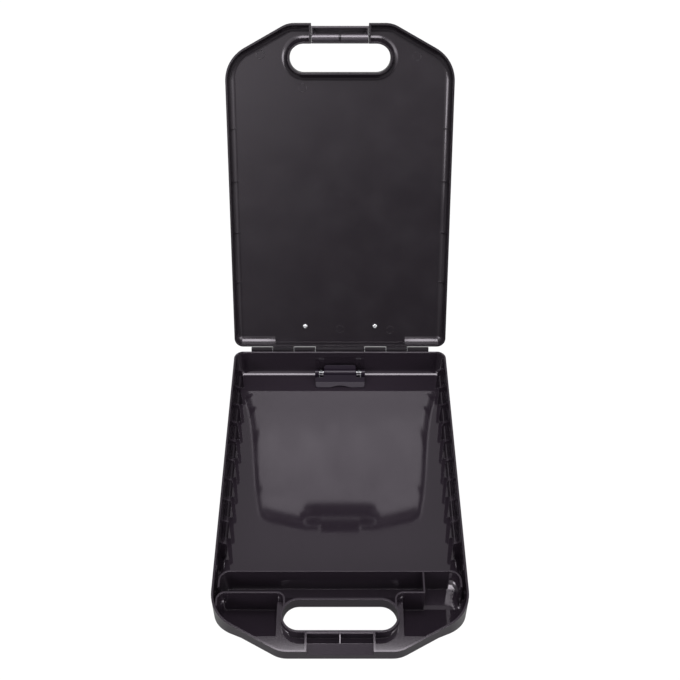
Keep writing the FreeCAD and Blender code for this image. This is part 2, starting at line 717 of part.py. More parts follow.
def clip_bracket(kind):
    """Foot plate with an eye at each end for the pin."""
    outer = "(%s_ear_place+%s_ear_gauge)" % (kind, kind)
    foot_half = "max(%s;%s_rivet_place+2*%s_rivet_head)" % (outer, kind, kind)
    parts = [box(kind + "_foot", "-" + foot_half, "-%s_foot_front" % kind, "0", "2*" + foot_half,
                 "%s_foot_front+%s_foot_back" % (kind, kind), "foot_gauge")]
    for side_name, low in (("left", "-" + outer), ("right", "%s_ear_place" % kind)):
        parts.append(box("%s_ear_%s" % (kind, side_name), low, "-clip_barrel_radius", "0",
                         "%s_ear_gauge" % kind, "2*clip_barrel_radius", "%s_pin_height" % kind))
        parts.append(rod("%s_eye_%s" % (kind, side_name), low, "0", "%s_pin_height" % kind,
                         "clip_barrel_radius", "%s_ear_gauge" % kind))
    cuts = [rod(kind + "_ear_bore", "-" + outer, "0", "%s_pin_height" % kind,
                "clip_pin_radius+pin_clearance", "2*" + outer)]
    for side_name, side in (("left", "-"), ("right", "")):
        cuts.append(post("%s_foot_hole_%s" % (kind, side_name), "%s%s_rivet_place" % (side, kind),
                         "0", "0", "%s_rivet_radius" % kind, "foot_gauge"))
    return cut(kind + "_bracket_whole", fuse(kind + "_bracket_solid", parts), cuts)


def clip_lever(kind):
    """Sheet lever: a wide jaw with an arched lip, a barrel round the pin and a thumb tail."""
    slope = jaw_slope(kind)
    root_reach = "(clip_barrel_radius+2*clip_rest_gap+clip_gauge/2)"
    knee = ("-%s_knee_reach" % kind, "%s_knee_height" % kind)
    root = ("-" + root_reach,
            "%s_knee_height+(%s_knee_reach-%s)*tan(%s)" % (kind, kind, root_reach, slope))
    crown = ("0", "%s_knee_height+%s_knee_reach*tan(%s)" % (kind, kind, slope))
    tip = ("-%s_jaw_reach" % kind, "clip_rest_gap")
    jaw = bent_sheet(kind + "_jaw_sheet", "-%s_jaw_half" % kind, "2*%s_jaw_half" % kind,
                     "clip_gauge", [tip, knee, root])
    plan = rounded(kind + "_jaw_plan", box(
        kind + "_jaw_plan_square", "-%s_jaw_half" % kind, "-%s_jaw_reach-clip_gauge" % kind, "0",
        "2*%s_jaw_half" % kind, "%s_jaw_reach+clip_gauge" % kind, "2*%s_pin_height" % kind,
    ), [(lambda edge: is_upright(edge) and edge.CenterOfMass.y < 0 - value("clip_gauge"),
         "clip_corner_radius")])
    jaw = common(kind + "_jaw", [jaw, plan])
    neck = bent_sheet(kind + "_neck", "-%s_barrel_half" % kind, "2*%s_barrel_half" % kind,
                      "clip_gauge", [root, crown, ("clip_barrel_radius/2", "%s_pin_height" % kind)])
    barrel = rod(kind + "_barrel", "-%s_barrel_half" % kind, "0", "%s_pin_height" % kind,
                 "clip_barrel_radius", "2*%s_barrel_half" % kind)
    tail = bent_sheet(kind + "_tail", "-%s_tail_half" % kind, "2*%s_tail_half" % kind,
                      "clip_gauge", [
        ("0", "%s_pin_height" % kind),
        ("%s_tail_reach*tail_bend_reach_share" % kind,
         "%s_pin_height+(%s_tail_height-%s_pin_height)*tail_bend_rise_share" % (kind, kind, kind)),
        ("%s_tail_reach" % kind, "%s_tail_height" % kind),
    ])
    tail_top = "(%s_tail_height+clip_gauge)" % kind
    tail_front = rounded(kind + "_tail_front", box(
        kind + "_tail_front_square", "-%s_tail_half" % kind, "-2*clip_barrel_radius", "0",
        "2*%s_tail_half" % kind, "2*clip_barrel_radius+2*%s_tail_reach" % kind, tail_top,
    ), [(lambda edge: edge.BoundBox.XLength < MATCH and level_at(tail_top)(edge),
         "tail_corner_radius")])
    tail = common(kind + "_tail_whole", [tail, tail_front])
    arch_radius = "((%s_arch_half^2+%s_arch_height^2)/(2*%s_arch_height))" % (kind, kind, kind)
    arch = doc.addObject("Part::Cylinder", kind + "_arch")
    arch.Placement = Placement(Vector(), Rotation(Vector(1, 0, 0), -90))
    bind(arch, "Radius", arch_radius)
    bind(arch, "Height", "2*(%s_jaw_reach-%s_knee_reach)" % (kind, kind))
    bind(arch, "Placement.Base.y", "-2*%s_jaw_reach+%s_knee_reach" % (kind, kind))
    bind(arch, "Placement.Base.z", "%s_arch_height-%s" % (kind, arch_radius))
    bore = rod(kind + "_barrel_bore", "-%s_barrel_half-cut_overrun" % kind, "0",
               "%s_pin_height" % kind, "clip_pin_radius+pin_clearance",
               "2*(%s_barrel_half+cut_overrun)" % kind)
    cuts = [arch, bore]
    if kind == "outer":
        reach = "(clip_barrel_radius+2*clip_rest_gap)"
        cuts.append(box("outer_spring_window", "-spring_room/2", "-%s-clip_gauge/2" % reach, "0",
                        "spring_room", "2*%s+clip_gauge/2" % reach, "outer_tail_height"))
    return cut(kind + "_lever_whole", fuse(kind + "_lever_solid", [jaw, neck, barrel, tail]), cuts)


def clip_pin(kind):
    reach = "(%s_ear_place+%s_ear_gauge)" % (kind, kind)
    return rod(kind + "_pin", "-" + reach, "0", "%s_pin_height" % kind, "clip_pin_radius", "2*" + reach)


def clip_rivets(kind, depth):
    """Pair of domed rivets through the foot plate."""
    pair = []
    for side_name, side in (("left", "-"), ("right", "")):
        name = "%s_rivet_%s" % (kind, side_name)
        place = "%s%s_rivet_place" % (side, kind)
        pair.append(fuse(name, [
            post(name + "_shank", place, "0", "-(%s)" % depth, "%s_rivet_radius" % kind,
                 "%s+foot_gauge+rivet_dome/2" % depth),
            dome(name + "_head", place, "foot_gauge", "%s_rivet_head" % kind,
                 "%s_rivet_head/2" % kind, "rivet_dome", 0),
        ]))
    return pair


def rolled_end(name, x):
    """Hollow end of a rivet, rolled over inside the lid."""
    roll = dome(name + "_roll", x, "-floor_gauge", "outer_rivet_head", "outer_rivet_radius",
                "rivet_roll", 180)
    return cut(name, roll, [post(name + "_bore", x, "0", "-floor_gauge-rivet_roll",
                                 "outer_rivet_bore", "rivet_roll")])


def dome(name, x, z, radius, top_radius, height, turn):
    """Rivet head with sloping sides, turned over where it closes the far side."""
    head = doc.addObject("Part::Cone", name)
    bind(head, "Radius1", radius)
    bind(head, "Radius2", top_radius)
    bind(head, "Height", height)
    head.Placement = Placement(Vector(), Rotation(Vector(1, 0, 0), turn))
    bind(head, "Placement.Base.x", x)
    bind(head, "Placement.Base.z", z)
    return head


def arc_pair(start, start_way, end, end_way):
    """Two arcs that leave one point and meet another along given directions."""
    gap = end - start
    ways = start_way + end_way
    square = 2 * (1 - start_way.dot(end_way))
    reach = (math.sqrt(gap.dot(ways) ** 2 + 2 * square * gap.dot(gap)) - gap.dot(ways)) / square
    first = start + start_way * reach
    second = end - end_way * reach
    middle = (first + second) * 0.5
    return [corner_arc(start, first, middle), corner_arc(middle, second, end)]


def corner_arc(start, corner, end):
    """Arc that touches both legs of a corner at their far ends."""
    leg = (start - corner).Length
    one = (start - corner) * (1 / leg)
    other = (end - corner) * (1 / leg)
    half = math.acos(max(-1.0, min(1.0, one.dot(other)))) / 2
    bisector = one + other
    bisector.normalize()
    radius = leg * math.tan(half)
    middle = corner + bisector * (leg / math.cos(half) - radius)
    return Part.Arc(start, middle, end).toShape()


def spring(name, kind, place, side):
    """Torsion spring round the pin, as one wire: a leg that stands on the foot behind the pin,
    the coil, and a leg that lies on the jaw and presses it down."""
    radius = value("spring_radius")
    pitch = value("spring_pitch")
    pin = value(kind + "_pin_height")
    wire = value("spring_wire")
    middle = value(place)
    lean = math.radians(value("spring_foot_lean"))
    last = math.radians(90 + value(jaw_slope(kind)))
    first = lean - 2 * math.pi * value(kind + "_spring_turns")
    climb = pitch / (2 * math.pi)
    coil = (last - first) * climb

    def point(turn):
        along = (turn - first) * climb - coil / 2
        return Vector(middle + side * along, radius * math.cos(turn), pin + radius * math.sin(turn))

    def way(turn):
        tangent = Vector(side * climb, -radius * math.sin(turn), radius * math.cos(turn))
        tangent.normalize()
        return tangent

    steps = math.ceil((last - first) / math.pi)
    turns = [first + (last - first) * number / steps for number in range(steps + 1)]
    edges = []
    for one, other in zip(turns, turns[1:]):
        edges += arc_pair(point(one), way(one), point(other), way(other))
    low = value("foot_gauge+clip_rest_gap") + wire / 2 * math.sin(lean)
    foot_leg = point(first) - way(first) * ((point(first).z - low) / way(first).z)
    jaw_leg = point(last) + way(last) * value("spring_leg")
    edges = ([Part.LineSegment(foot_leg, point(first)).toShape()] + edges
             + [Part.LineSegment(point(last), jaw_leg).toShape()])
    path = Part.Wire(edges)
    around = way(first).cross(Vector(1, 0, 0))
    around.normalize()
    rim = [foot_leg + Rotation(way(first), 360 * number / WIRE_SIDES).multVec(around) * (wire / 2)
           for number in range(WIRE_SIDES)]
    section = Part.makePolygon(rim + rim[:1])
    coiled = doc.addObject("Part::Feature", name)
    coiled.Shape = path.makePipeShell([section], True, False)
    print("%s: least gap between turns %.2f mm" % (name, spring_gap(path, wire)))
    return coiled


def spring_gap(path, wire):
    """Least clear distance between parts of the wire that are over half a turn apart."""
    points = path.discretize(Number=SPRING_SAMPLES)
    step = path.Length / (len(points) - 1)
    skip = int(math.pi * value("spring_radius") / step)
    least = min((points[one] - points[other]).Length
                for one in range(0, len(points), 2)
                for other in range(one + skip, len(points), 2))
    return least - wire


def build():
    middle = value("(body_length+hinge_offset)/2")
    rest = Placement(Vector(0, middle, value("base_depth")), Rotation())
    opened = rest * Placement(Vector(), Rotation(Vector(1, 0, 0), -value("open_angle")))
    finish(tray(), "base_tray", rest)
    finish(lid(), "lid_shell", opened)
    finish(hinge_pin(), "hinge_pin", rest)
    finish(latch(), "handle_latch", opened)
    for side_name in ("left", "right"):
        finish(latch_pin(side_name), "latch_pin_" + side_name, opened)
    floor = Vector(0, -value("inner_clip_place"), value("floor_gauge-base_depth"))
    outside = Vector(0, -value("outer_clip_place"), value("lid_depth"))
    inner_place = rest * Placement(floor, Rotation())
    outer_place = opened * Placement(outside, Rotation())
    clip("inner", inner_place)
    clip("outer", outer_place)
    room = "(inner_barrel_half+inner_ear_place)/2"
    for side_name, place, side in (("left", "-" + room, -1), ("right", room, 1)):
        finish(spring("inner_spring_" + side_name, "inner", place, side),
               "inner_clip_spring_" + side_name, inner_place)
    finish(spring("outer_spring", "outer", "0", 1), "outer_clip_spring", outer_place)
    finish(fuse("inner_rivet_pair", clip_rivets("inner", "inner_rivet_depth")),
           "inner_clip_rivets", inner_place)
    rivets = clip_rivets("outer", "floor_gauge")
    for side_name, side in (("left", "-"), ("right", "")):
        rivets.append(rolled_end("outer_rivet_inside_" + side_name, side + "outer_rivet_place"))
    finish(fuse("outer_rivet_pair", rivets), "outer_clip_rivets", outer_place)


def clip(kind, place):
    """The rigid pieces of one spring clip."""
    finish(clip_bracket(kind), kind + "_clip_bracket", place)
    finish(clip_lever(kind), kind + "_clip_lever", place)
    finish(clip_pin(kind), kind + "_clip_pin", place)


def export():
    doc.recompute()
    for item in doc.Objects:
        if "Invalid" in item.State or "Error" in item.State:
            raise RuntimeError("%s did not build: %s" % (item.Name, item.State))
    os.makedirs("parts", exist_ok=True)
    for item in nodes:
        shape = item.Shape
        if shape.isNull() or not shape.isValid():
            raise RuntimeError("%s has no valid shape" % item.Label)
        print("%-22s solids %d volume %.0f" % (item.Label, len(shape.Solids), shape.Volume))
        shape.exportStep("parts/%s.step" % item.Label)


build()
export()
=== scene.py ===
import json
import math

import bmesh
import bpy
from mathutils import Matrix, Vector


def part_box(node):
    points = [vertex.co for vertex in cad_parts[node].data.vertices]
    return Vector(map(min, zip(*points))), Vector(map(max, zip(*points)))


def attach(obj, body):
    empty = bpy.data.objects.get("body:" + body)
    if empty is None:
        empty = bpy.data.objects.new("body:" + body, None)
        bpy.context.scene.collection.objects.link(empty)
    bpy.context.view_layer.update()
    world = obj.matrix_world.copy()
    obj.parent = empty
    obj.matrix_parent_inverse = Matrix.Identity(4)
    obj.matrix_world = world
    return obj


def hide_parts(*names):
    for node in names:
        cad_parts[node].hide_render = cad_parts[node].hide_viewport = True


# Storage clipboard box, standing open as in the photograph: a moulded tray and a writing lid on one
# long hinge pin, with a latch in the lid's handle and two sprung paper clips. The dressed pieces
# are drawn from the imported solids, with the soft edges and the finish that moulding leaves.

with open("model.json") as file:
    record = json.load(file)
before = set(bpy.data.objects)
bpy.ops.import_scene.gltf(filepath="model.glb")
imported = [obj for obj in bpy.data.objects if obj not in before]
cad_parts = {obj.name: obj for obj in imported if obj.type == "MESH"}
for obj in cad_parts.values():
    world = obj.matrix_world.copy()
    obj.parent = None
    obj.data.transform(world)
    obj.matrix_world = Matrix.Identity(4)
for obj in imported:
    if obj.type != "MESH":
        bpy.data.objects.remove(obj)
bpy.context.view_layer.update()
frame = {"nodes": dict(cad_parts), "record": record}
nodes = frame["nodes"]

# The lid
# The writing board: one shallow ABS moulding, charcoal with a faint purple cast. Its inside was
# moulded against polished steel, so it mirrors the room, and every edge has a small radius.

LID_PLASTIC = ("#171317", "#141115")
# Darker than the lid's plastic: painted shade for the hinge strip.
KNUCKLE_PLASTIC_SHADED = ("#131013", "#110f12")
PLASTIC_SHEEN = (1.0, 0.93, 1.01, 1.0)
ABS_IOR = 1.52
HAZE_MM = 38.0
HAZE_BAND = (0.3, 0.7)
HAZE_DEPTH = (0.8, 1.25)
SWIRL_MM = 70.0
EDGE_MM = 0.45
CRISP_EDGE_MM = 0.1
EDGE_SAMPLES = 4
WELD = 2e-6
SLIVER = 1e-6
SMOOTH_ANGLE = math.radians(32)
FLAT_ANGLE = math.radians(0.4)
FLATS_WEIGHT = 100
TRUE_FLAT_MM2 = 60.0
HINGE_REACH = 0.0058


def linear(code):
    """Linear RGBA of an sRGB hex colour."""
    def channel(part):
        level = int(part, 16) / 255
        return level / 12.92 if level <= 0.04045 else ((level + 0.055) / 1.055) ** 2.4

    return tuple(channel(code[i:i + 2]) for i in (1, 3, 5)) + (1.0,)


def node(tree, kind, links=None, values=None, **settings):
    """Add a node with its properties, socket values and links."""
    item = tree.nodes.new(kind)
    for name, amount in settings.items():
        setattr(item, name, amount)
    for name, amount in (values or {}).items():
        item.inputs[name].default_value = amount
    for name, source in (links or {}).items():
        tree.links.new(source, item.inputs[name])
    return item


def surface(name):
    """A new material, its tree and its shader."""
    material = bpy.data.materials.new(name)
    material.use_nodes = True
    return material, material.node_tree, material.node_tree.nodes["Principled BSDF"]


def moulded_abs(name, colours, rough, wave_mm, wave_height_mm, edge_mm=EDGE_MM, shine=0.5):
    """Polished ABS: slow waves where the plate shrank, hazy patches in the gloss, a pigment that
    drifts a little with the flow of the melt, and edges eased by the radius of the tool."""
    material, tree, shader = surface(name)
    shader.inputs["IOR"].default_value = ABS_IOR
    shader.inputs["Specular IOR Level"].default_value = shine
    shader.inputs["Specular Tint"].default_value = PLASTIC_SHEEN
    place = node(tree, "ShaderNodeTexCoord").outputs["Object"]
    wave = node(tree, "ShaderNodeTexNoise", {"Vector": place},
                {"Scale": 1000 / wave_mm, "Detail": 1.0})
    haze = node(tree, "ShaderNodeTexNoise", {"Vector": place},
                {"Scale": 1000 / HAZE_MM, "Detail": 3.0})
    gloss = node(tree, "ShaderNodeMapRange", {"Value": haze.outputs["Fac"]},
                 {"From Min": HAZE_BAND[0], "From Max": HAZE_BAND[1],
                  "To Min": rough * HAZE_DEPTH[0], "To Max": rough * HAZE_DEPTH[1]})
    swirl = node(tree, "ShaderNodeTexNoise", {"Vector": place},
                 {"Scale": 1000 / SWIRL_MM, "Detail": 2.0})
    tone = node(tree, "ShaderNodeMix", {"Factor": swirl.outputs["Fac"]},
                {"A": linear(colours[0]), "B": linear(colours[1])}, data_type="RGBA")
    edges = node(tree, "ShaderNodeBevel", values={"Radius": edge_mm / 1000}, samples=EDGE_SAMPLES)
    bump = node(tree, "ShaderNodeBump",
                {"Height": wave.outputs["Fac"], "Normal": edges.outputs["Normal"]},
                {"Strength": 1.0, "Distance": wave_height_mm / 1000})
    tree.links.new(tone.outputs["Result"], shader.inputs["Base Color"])
    tree.links.new(gloss.outputs["Result"], shader.inputs["Roughness"])
    tree.links.new(bump.outputs["Normal"], shader.inputs["Normal"])
    return material


# The body that the frame's record gives each solid.
BODY = {name: body for body, members in frame["record"]["behaviour"]["bodies"].items()
        for name in members}


def settle(piece, name):
    """Fix a finished piece to the body of the solid that it stands for."""
    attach(piece, BODY[name])
    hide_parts(name)


hinge_low, hinge_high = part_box("hinge_pin")
HINGE_Y = (hinge_low[1] + hinge_high[1]) / 2
HINGE_Z = (hinge_low[2] + hinge_high[2]) / 2


def at_hinge(corners):
    """Whether a face lies on the knuckles, with all its corners near the hinge axis."""
    return all(math.hypot(corner.co.y - HINGE_Y, corner.co.z - HINGE_Z) < HINGE_REACH
               for corner in corners)


def welded(name, material, matt=None):
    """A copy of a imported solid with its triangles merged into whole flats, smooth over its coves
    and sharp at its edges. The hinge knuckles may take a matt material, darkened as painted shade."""
    mesh = nodes[name].data.copy()
    mesh.materials.clear()
    mesh.materials.append(material)
    work = bmesh.new()
    work.from_mesh(mesh)
    bmesh.ops.remove_doubles(work, verts=work.verts, dist=WELD)
    bmesh.ops.dissolve_limit(work, angle_limit=FLAT_ANGLE, verts=work.verts, edges=work.edges)
    bmesh.ops.dissolve_degenerate(work, edges=work.edges, dist=SLIVER)
    if matt:
        mesh.materials.append(matt)
        for face in work.faces:
            face.material_index = 1 if at_hinge(face.verts) else 0
    work.to_mesh(mesh)
    work.free()
    for face in mesh.polygons:
        face.use_smooth = True
    mesh.set_sharp_from_angle(angle=SMOOTH_ANGLE)
    piece = bpy.data.objects.new(name + "_look", mesh)
    bpy.context.scene.collection.objects.link(piece)
    return piece


def plain(piece):
    """Make what a piece's modifiers give its own mesh, and remove them."""
    shown = piece.evaluated_get(bpy.context.evaluated_depsgraph_get())
    done = bpy.data.meshes.new_from_object(shown)
    piece.modifiers.clear()
    piece.data = done
    return piece


def trued(piece, sharp=True):
    """Bend the normals of small faces to those of their large neighbours, and keep the large
    faces flat, as they are on a polished tool."""
    flats = piece.modifiers.new("true flats", "WEIGHTED_NORMAL")
    flats.mode = "FACE_AREA"
    flats.weight = FLATS_WEIGHT
    flats.keep_sharp = sharp
    mesh = plain(piece).data
    bent = [corner.vector.copy() for corner in mesh.corner_normals]
    for face in mesh.polygons:
        if face.area > TRUE_FLAT_MM2 * 1e-6:
            for corner in face.loop_indices:
                bent[corner] = face.normal
    mesh.normals_split_custom_set(bent)
    return piece


# Deep gloss, with slow waves in the mirror image as on any thin plate.
lid_abs = moulded_abs("ABS, charcoal, polished", LID_PLASTIC,
                      rough=0.2, wave_mm=60.0, wave_height_mm=0.035)
# The knuckles stay as spark erosion left their tool. Its pits are too fine to draw, so a dull
# finish stands for them. The darker tone and the weak gloss are painted shade, so the hinge reads
# as a dark strip.
knuckle_abs_painted_shade = moulded_abs("ABS, charcoal, spark finish, painted shade", KNUCKLE_PLASTIC_SHADED,
                          rough=0.5, wave_mm=20.0, wave_height_mm=0.02,
                          edge_mm=CRISP_EDGE_MM, shine=0.08)
settle(trued(welded("lid_shell", lid_abs, knuckle_abs_painted_shade)), "lid_shell")

# Marks in the lid
# Rings that the ejector pins left in the plate, ten millimetres across, and the small scar of the
# gate in its middle. Both are raised a little out of the same plastic.

LID_LEAN = math.radians(116.7)
PLATE_MM = 10.6
PIN_MARKS_MM = ((-44.5, 328.0), (44.0, 328.0), (0.0, 23.5), (64.0, 22.5), (-93.0, 366.0),
                (90.0, 364.0))
PIN_RING = {"Ring Radius": 0.0048, "Bead Radius": 0.0003}
GATE_MARK_MM = (1.0, 199.0)
GATE_RING = {"Ring Radius": 0.0009, "Bead Radius": 0.0004}
MARK_EDGE_MM = 0.02
RING_POINTS = 32
BEAD_POINTS = 10


def on_lid(across, along, height):
    """World place, in metres, of a point given in millimetres: across the case, along the lid
    from the hinge axis, and up from the rim while the lid is shut."""
    return Vector((across / 1000,
                   HINGE_Y - (along * math.cos(LID_LEAN) - height * math.sin(LID_LEAN)) / 1000,
                   HINGE_Z + (along * math.sin(LID_LEAN) + height * math.cos(LID_LEAN)) / 1000))


def rings(name, places, way, sizes, material):
    """One mesh of a beaded ring set on each place, facing along a direction. A tree of geometry
    nodes draws it, with the radius of the ring and of the bead as its inputs."""
    tree = bpy.data.node_groups.new(name, "GeometryNodeTree")
    tree.interface.new_socket("Points", in_out="INPUT", socket_type="NodeSocketGeometry")
    values = {}
    for label, amount in sizes.items():
        socket = tree.interface.new_socket(label, in_out="INPUT", socket_type="NodeSocketFloat")
        values[socket.identifier] = amount
    tree.interface.new_socket("Result", in_out="OUTPUT", socket_type="NodeSocketGeometry")
    given = node(tree, "NodeGroupInput")
    path = node(tree, "GeometryNodeCurvePrimitiveCircle",
                {"Radius": given.outputs["Ring Radius"]}, {"Resolution": RING_POINTS})
    section = node(tree, "GeometryNodeCurvePrimitiveCircle",
                   {"Radius": given.outputs["Bead Radius"]}, {"Resolution": BEAD_POINTS})
    ring = node(tree, "GeometryNodeCurveToMesh",
                {"Curve": path.outputs["Curve"], "Profile Curve": section.outputs["Curve"]})
    turn = node(tree, "FunctionNodeAlignRotationToVector", values={"Vector": way}, axis="Z")
    spread = node(tree, "GeometryNodeInstanceOnPoints",
                  {"Points": given.outputs["Points"], "Instance": ring.outputs["Mesh"],
                   "Rotation": turn.outputs["Rotation"]})
    solid = node(tree, "GeometryNodeRealizeInstances", {"Geometry": spread.outputs["Instances"]})
    smooth = node(tree, "GeometryNodeSetShadeSmooth", {"Geometry": solid.outputs["Geometry"]})
    dressed = node(tree, "GeometryNodeSetMaterial", {"Geometry": smooth.outputs["Geometry"]},
                   {"Material": material})
    out = node(tree, "NodeGroupOutput")
    tree.links.new(dressed.outputs["Geometry"], out.inputs["Result"])
    mesh = bpy.data.meshes.new(name)
    mesh.from_pydata([tuple(place) for place in places], [], [])
    piece = bpy.data.objects.new(name, mesh)
    bpy.context.scene.collection.objects.link(piece)
    modifier = piece.modifiers.new(name, "NODES")
    modifier.node_group = tree
    for identifier, amount in values.items():
        modifier[identifier] = amount
    return plain(piece)


LID_OUTWARD = (on_lid(0, 0, 0) - on_lid(0, 0, 1)).normalized()
# The same plastic at the small step that a pin leaves: a thin arc of light on its upper side.
witness_abs = moulded_abs("ABS, charcoal, witness marks", LID_PLASTIC,
                          rough=0.25, wave_mm=60.0, wave_height_mm=0.02, edge_mm=MARK_EDGE_MM)
marks = rings("lid_pin_marks",
              [on_lid(across, along, PLATE_MM) for across, along in PIN_MARKS_MM],
              LID_OUTWARD, PIN_RING, witness_abs)
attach(marks, "lid")
scar = rings("lid_gate_scar", [on_lid(*GATE_MARK_MM, PLATE_MM)], LID_OUTWARD, GATE_RING,
             witness_abs)
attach(scar, "lid")

# The tray
# The deep half of the case, moulded in the same ABS: thin walls for the papers, pens and small
# things, gusset fins along both sides and half of the carrying handle.

TRAY_PLASTIC = ("#1f1a20", "#1c171d")
TRAY_EDGE_MM = 0.3
FLOOR_GAUGE = 0.0024
FLOOR_SLACK = 0.0003
FLOOR_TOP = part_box("base_tray")[0][2] + FLOOR_GAUGE
LEVEL = 0.999
BAY_END = -0.107
DISH_START = 0.175
DISH_END = -0.005
DISH_RISE = 0.1345
WALL_ROUGH = 0.08
# Mirror gloss: the floor shows the open lid almost sharply.
tray_abs = moulded_abs("ABS, charcoal, mirror polished", TRAY_PLASTIC,
                       rough=0.05, wave_mm=90.0, wave_height_mm=0.015, edge_mm=TRAY_EDGE_MM)


def dished(material):
    """The polished floor mirrors as if it rose a little towards the handle: the photograph's
    mirror image of the lid is longer than a level floor gives. The walls are a little duller."""
    tree = material.node_tree
    place = node(tree, "ShaderNodeSeparateXYZ",
                 {0: node(tree, "ShaderNodeTexCoord").outputs["Object"]})
    facing = node(tree, "ShaderNodeSeparateXYZ",
                  {0: node(tree, "ShaderNodeNewGeometry").outputs["Normal"]})
    low = node(tree, "ShaderNodeMath", {0: place.outputs["Z"]}, {1: FLOOR_TOP + FLOOR_SLACK},
               operation="LESS_THAN")
    level = node(tree, "ShaderNodeMath", {0: facing.outputs["Z"]}, {1: LEVEL},
                 operation="GREATER_THAN")
    bay = node(tree, "ShaderNodeMath", {0: place.outputs["Y"]}, {1: BAY_END},
               operation="GREATER_THAN")
    flat = node(tree, "ShaderNodeMath", {0: low.outputs[0], 1: level.outputs[0]},
                operation="MULTIPLY")
    floor_only = node(tree, "ShaderNodeMath", {0: flat.outputs[0], 1: bay.outputs[0]},
                      operation="MULTIPLY")
    rise = node(tree, "ShaderNodeMapRange", {"Value": place.outputs["Y"]},
                {"From Min": DISH_START, "From Max": DISH_END, "To Min": 0.0, "To Max": DISH_RISE},
                interpolation_type="SMOOTHSTEP")
    lean = node(tree, "ShaderNodeMath", {0: rise.outputs["Result"], 1: floor_only.outputs[0]},
                operation="MULTIPLY")
    step = node(tree, "ShaderNodeCombineXYZ", {"Y": lean.outputs[0]})
    whole = node(tree, "ShaderNodeVectorMath",
                 {0: tree.nodes["Bevel"].outputs["Normal"], 1: step.outputs["Vector"]},
                 operation="ADD")
    true = node(tree, "ShaderNodeVectorMath", {0: whole.outputs["Vector"]}, operation="NORMALIZE")
    tree.links.new(true.outputs["Vector"], tree.nodes["Bump"].inputs["Normal"])
    gloss = node(tree, "ShaderNodeMix",
                 {"Factor": floor_only.outputs[0], "B": tree.nodes["Map Range"].outputs["Result"]},
                 {"A": WALL_ROUGH}, data_type="FLOAT")
    tree.links.new(gloss.outputs["Result"], tree.nodes["Principled BSDF"].inputs["Roughness"])


dished(tray_abs)
settle(trued(welded("base_tray", tray_abs, knuckle_abs_painted_shade)), "base_tray")

# The latch
# A half-round ABS gutter in the lid's handle bar, a slightly paler moulding. It turns on two
# short pins, and a bead inside it snaps under a catch on the tray.

LATCH_PLASTIC = ("#3b373c", "#353136")
# Greyer than the lid, with a broad soft highlight along the bar.
latch_abs = moulded_abs("ABS, grey", LATCH_PLASTIC, rough=0.2, wave_mm=30.0, wave_height_mm=0.03)
settle(trued(welded("handle_latch", latch_abs)), "handle_latch")

# Pins
# Drawn mild steel wire, zinc plated, cut to length: the long hinge pin, the latch's two short
# pins and the pin through each clip.

ZINC = "#a9a9ac"
DRAWN_STRETCH = (0.05, 1.0, 1.0)
DRAWN_DEPTH = (0.7, 1.4)
PIN_EDGE_MM = 0.15
EASE_STEPS = 2


def drawn_steel(name, colour, rough, line_mm):
    """Bright drawn wire: lines along it that stretch the highlights. The die's own scratches are
    finer than the render shows, so they are drawn coarser."""
    material, tree, shader = surface(name)
    shader.inputs["Metallic"].default_value = 1.0
    shader.inputs["Base Color"].default_value = linear(colour)
    place = node(tree, "ShaderNodeTexCoord").outputs["Object"]
    squeeze = node(tree, "ShaderNodeMapping", {"Vector": place}, {"Scale": DRAWN_STRETCH})
    lines = node(tree, "ShaderNodeTexNoise", {"Vector": squeeze.outputs["Vector"]},
                 {"Scale": 1000 / line_mm, "Detail": 2.0})
    gloss = node(tree, "ShaderNodeMapRange", {"Value": lines.outputs["Fac"]},
                 {"To Min": rough * DRAWN_DEPTH[0], "To Max": rough * DRAWN_DEPTH[1]})
    tree.links.new(gloss.outputs["Result"], shader.inputs["Roughness"])
    return material


def eased(name, material, edge_mm):
    """A packed metal piece with its flats made whole and its edges broken by a small radius."""
    piece = welded(name, material)
    ease = piece.modifiers.new("broken edges", "BEVEL")
    ease.limit_method = "ANGLE"
    ease.angle_limit = SMOOTH_ANGLE
    ease.width = edge_mm / 1000
    ease.segments = EASE_STEPS
    ease.use_clamp_overlap = False
    return trued(piece, sharp=False)


# A pale grey gleam, drawn out along the wire.
pin_steel = drawn_steel("zinc plated steel, drawn", ZINC, rough=0.3, line_mm=0.4)
for name in ("hinge_pin", "latch_pin_left", "latch_pin_right", "inner_clip_pin", "outer_clip_pin"):
    settle(eased(name, pin_steel, PIN_EDGE_MM), name)

# The spring clips
# Stamped sheet steel, bent and finished in black enamel: a foot with two eyes and a lever whose
# jaw is pressed down by the springs on its pin.

ENAMEL_BLACK = "#17121a"
ENAMEL_SHINE = 0.16
PEEL_HEIGHT_MM = 0.03
PEEL_STRENGTH = 0.5
SHEET_EDGE_MM = 0.2


def black_enamel(name, colour, rough, peel_mm):
    """Stoved enamel: near black, with a soft gloss and the faint orange peel of a sprayed coat."""
    material, tree, shader = surface(name)
    shader.inputs["Base Color"].default_value = linear(colour)
    shader.inputs["Roughness"].default_value = rough
    shader.inputs["Specular IOR Level"].default_value = ENAMEL_SHINE
    shader.inputs["Specular Tint"].default_value = PLASTIC_SHEEN
    place = node(tree, "ShaderNodeTexCoord").outputs["Object"]
    peel = node(tree, "ShaderNodeTexNoise", {"Vector": place},
                {"Scale": 1000 / peel_mm, "Detail": 1.0})
    bump = node(tree, "ShaderNodeBump", {"Height": peel.outputs["Fac"]},
                {"Strength": PEEL_STRENGTH, "Distance": PEEL_HEIGHT_MM / 1000})
    tree.links.new(bump.outputs["Normal"], shader.inputs["Normal"])
    return material


# Dark enough to sink into the tray's shade, with a grey gleam on the bent jaw.
enamel = black_enamel("black enamel on steel", ENAMEL_BLACK, rough=0.2, peel_mm=1.5)
for name in ("inner_clip_bracket", "inner_clip_lever", "inner_clip_rivets",
             "outer_clip_bracket", "outer_clip_lever"):
    settle(eased(name, enamel, SHEET_EDGE_MM), name)

